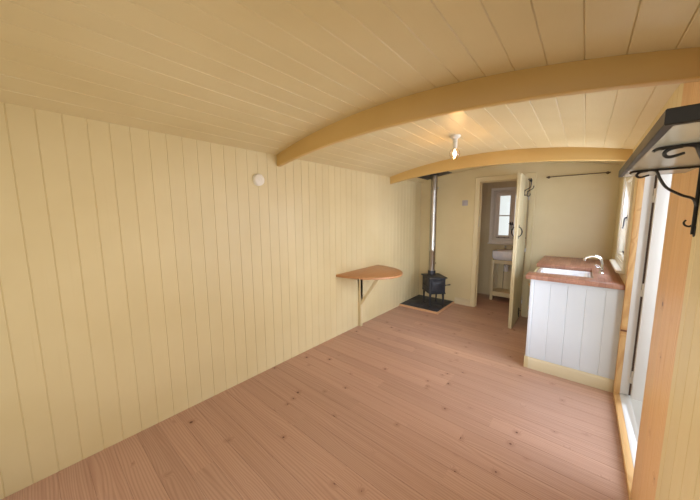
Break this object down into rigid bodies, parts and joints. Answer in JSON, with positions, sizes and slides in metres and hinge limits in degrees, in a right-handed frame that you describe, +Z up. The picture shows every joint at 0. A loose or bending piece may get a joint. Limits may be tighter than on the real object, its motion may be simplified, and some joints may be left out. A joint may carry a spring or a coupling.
{
  "type": "shepherds hut room section",
  "caption": "Room section of a shepherds hut: boarded walls, vaulted ceiling on arched bows, plank door in a partition, double entrance leaves, stove, sink unit and washroom.",
  "frame": {"origin": "on the underside of the floor frame, on the centre line, halfway along the section's bows", "axes": "+Y runs from the open end to the washroom end, +X is the entrance side, +Z is up"},
  "size_m": [3.285, 5.96, 2.853],
  "materials": {
    "bare_timber": "sawn softwood",
    "pine_floor": "lightly sealed pine boards",
    "outer_paint": "painted boards",
    "cream_paint": "painted tongue and groove boards",
    "bow_paint": "painted laminated bow",
    "roof_steel": "painted corrugated sheet",
    "door_paint": "satin painted planks",
    "black_iron": "black japanned iron",
    "white_paint": "satin painted timber",
    "oiled_pine": "oiled knotty pine",
    "window_paint": "satin painted timber",
    "glass": "clear pane",
    "lamp_white": "opal globe in a white holder",
    "detector_plastic": "moulded white plastic",
    "slate": "honed slate with a timber edge",
    "stove_iron": "stove blacking on cast iron",
    "flue_steel": "drawn stainless tube",
    "unit_paint": "pale painted vertical boards",
    "worktop_wood": "oiled hardwood staves",
    "white_glaze": "white glazed fireclay",
    "table_wood": "waxed hardwood",
    "shelf_paint": "dark stained board"
  },
  "bodies": {
    "hut": {"floor_frame": "bare_timber", "floor_boards": "pine_floor", "left_wall": "outer_paint", "right_wall_near": "outer_paint", "right_wall_over_door": "outer_paint", "right_wall_far": "outer_paint", "side_linings": "cream_paint", "end_wall": "outer_paint", "near_bow": "bow_paint", "middle_bow": "bow_paint", "far_bow": "bow_paint", "ceiling_boards": "cream_paint", "roof_core": "bare_timber", "roof_sheet": "roof_steel", "roof_trim": "outer_paint", "partition_left": "cream_paint", "partition_right": "cream_paint", "partition_over_door": "cream_paint", "partition_trim": "cream_paint", "door_frame": "cream_paint", "hinge_pins": "black_iron", "entrance_frame": "white_paint", "entrance_lining": "oiled_pine", "kitchen_window": "window_paint", "end_window": "window_paint", "window_glass": "glass", "ceiling_lamp": "lamp_white", "smoke_detector": "detector_plastic", "hearth": "slate", "stove": "stove_iron", "flue_pipe": "flue_steel", "kitchen_unit": "unit_paint", "worktop": "worktop_wood", "sink": "white_glaze", "wall_table": "table_wood", "table_bracket": "cream_paint", "wall_shelf": "shelf_paint", "shelf_brackets": "black_iron", "hook_rail": "black_iron", "washstand": "cream_paint", "basin": "white_glaze"},
    "washroom_door": {"door_leaf": "door_paint", "door_ironwork": "black_iron"},
    "entrance_door_far": {"entrance_leaf_far": "white_paint"},
    "entrance_door_near": {"entrance_leaf_near": "white_paint"}
  },
  "joints": [
    {"name": "washroom_door_hinge", "type": "hinge", "parent": "hut", "child": "washroom_door", "pos_m": [0.3575, 1.963, 1.15], "axis": [0, 0, 1], "range_deg": [-90, 10]},
    {"name": "entrance_far_hinge", "type": "hinge", "parent": "hut", "child": "entrance_door_far", "pos_m": [1.338, 0.3915, 1.1], "axis": [0, 0, 1], "range_deg": [-90, 60]},
    {"name": "entrance_near_hinge", "type": "hinge", "parent": "hut", "child": "entrance_door_near", "pos_m": [1.338, -0.7305, 1.1], "axis": [0, 0, 1], "range_deg": [-60, 90]}
  ]
}
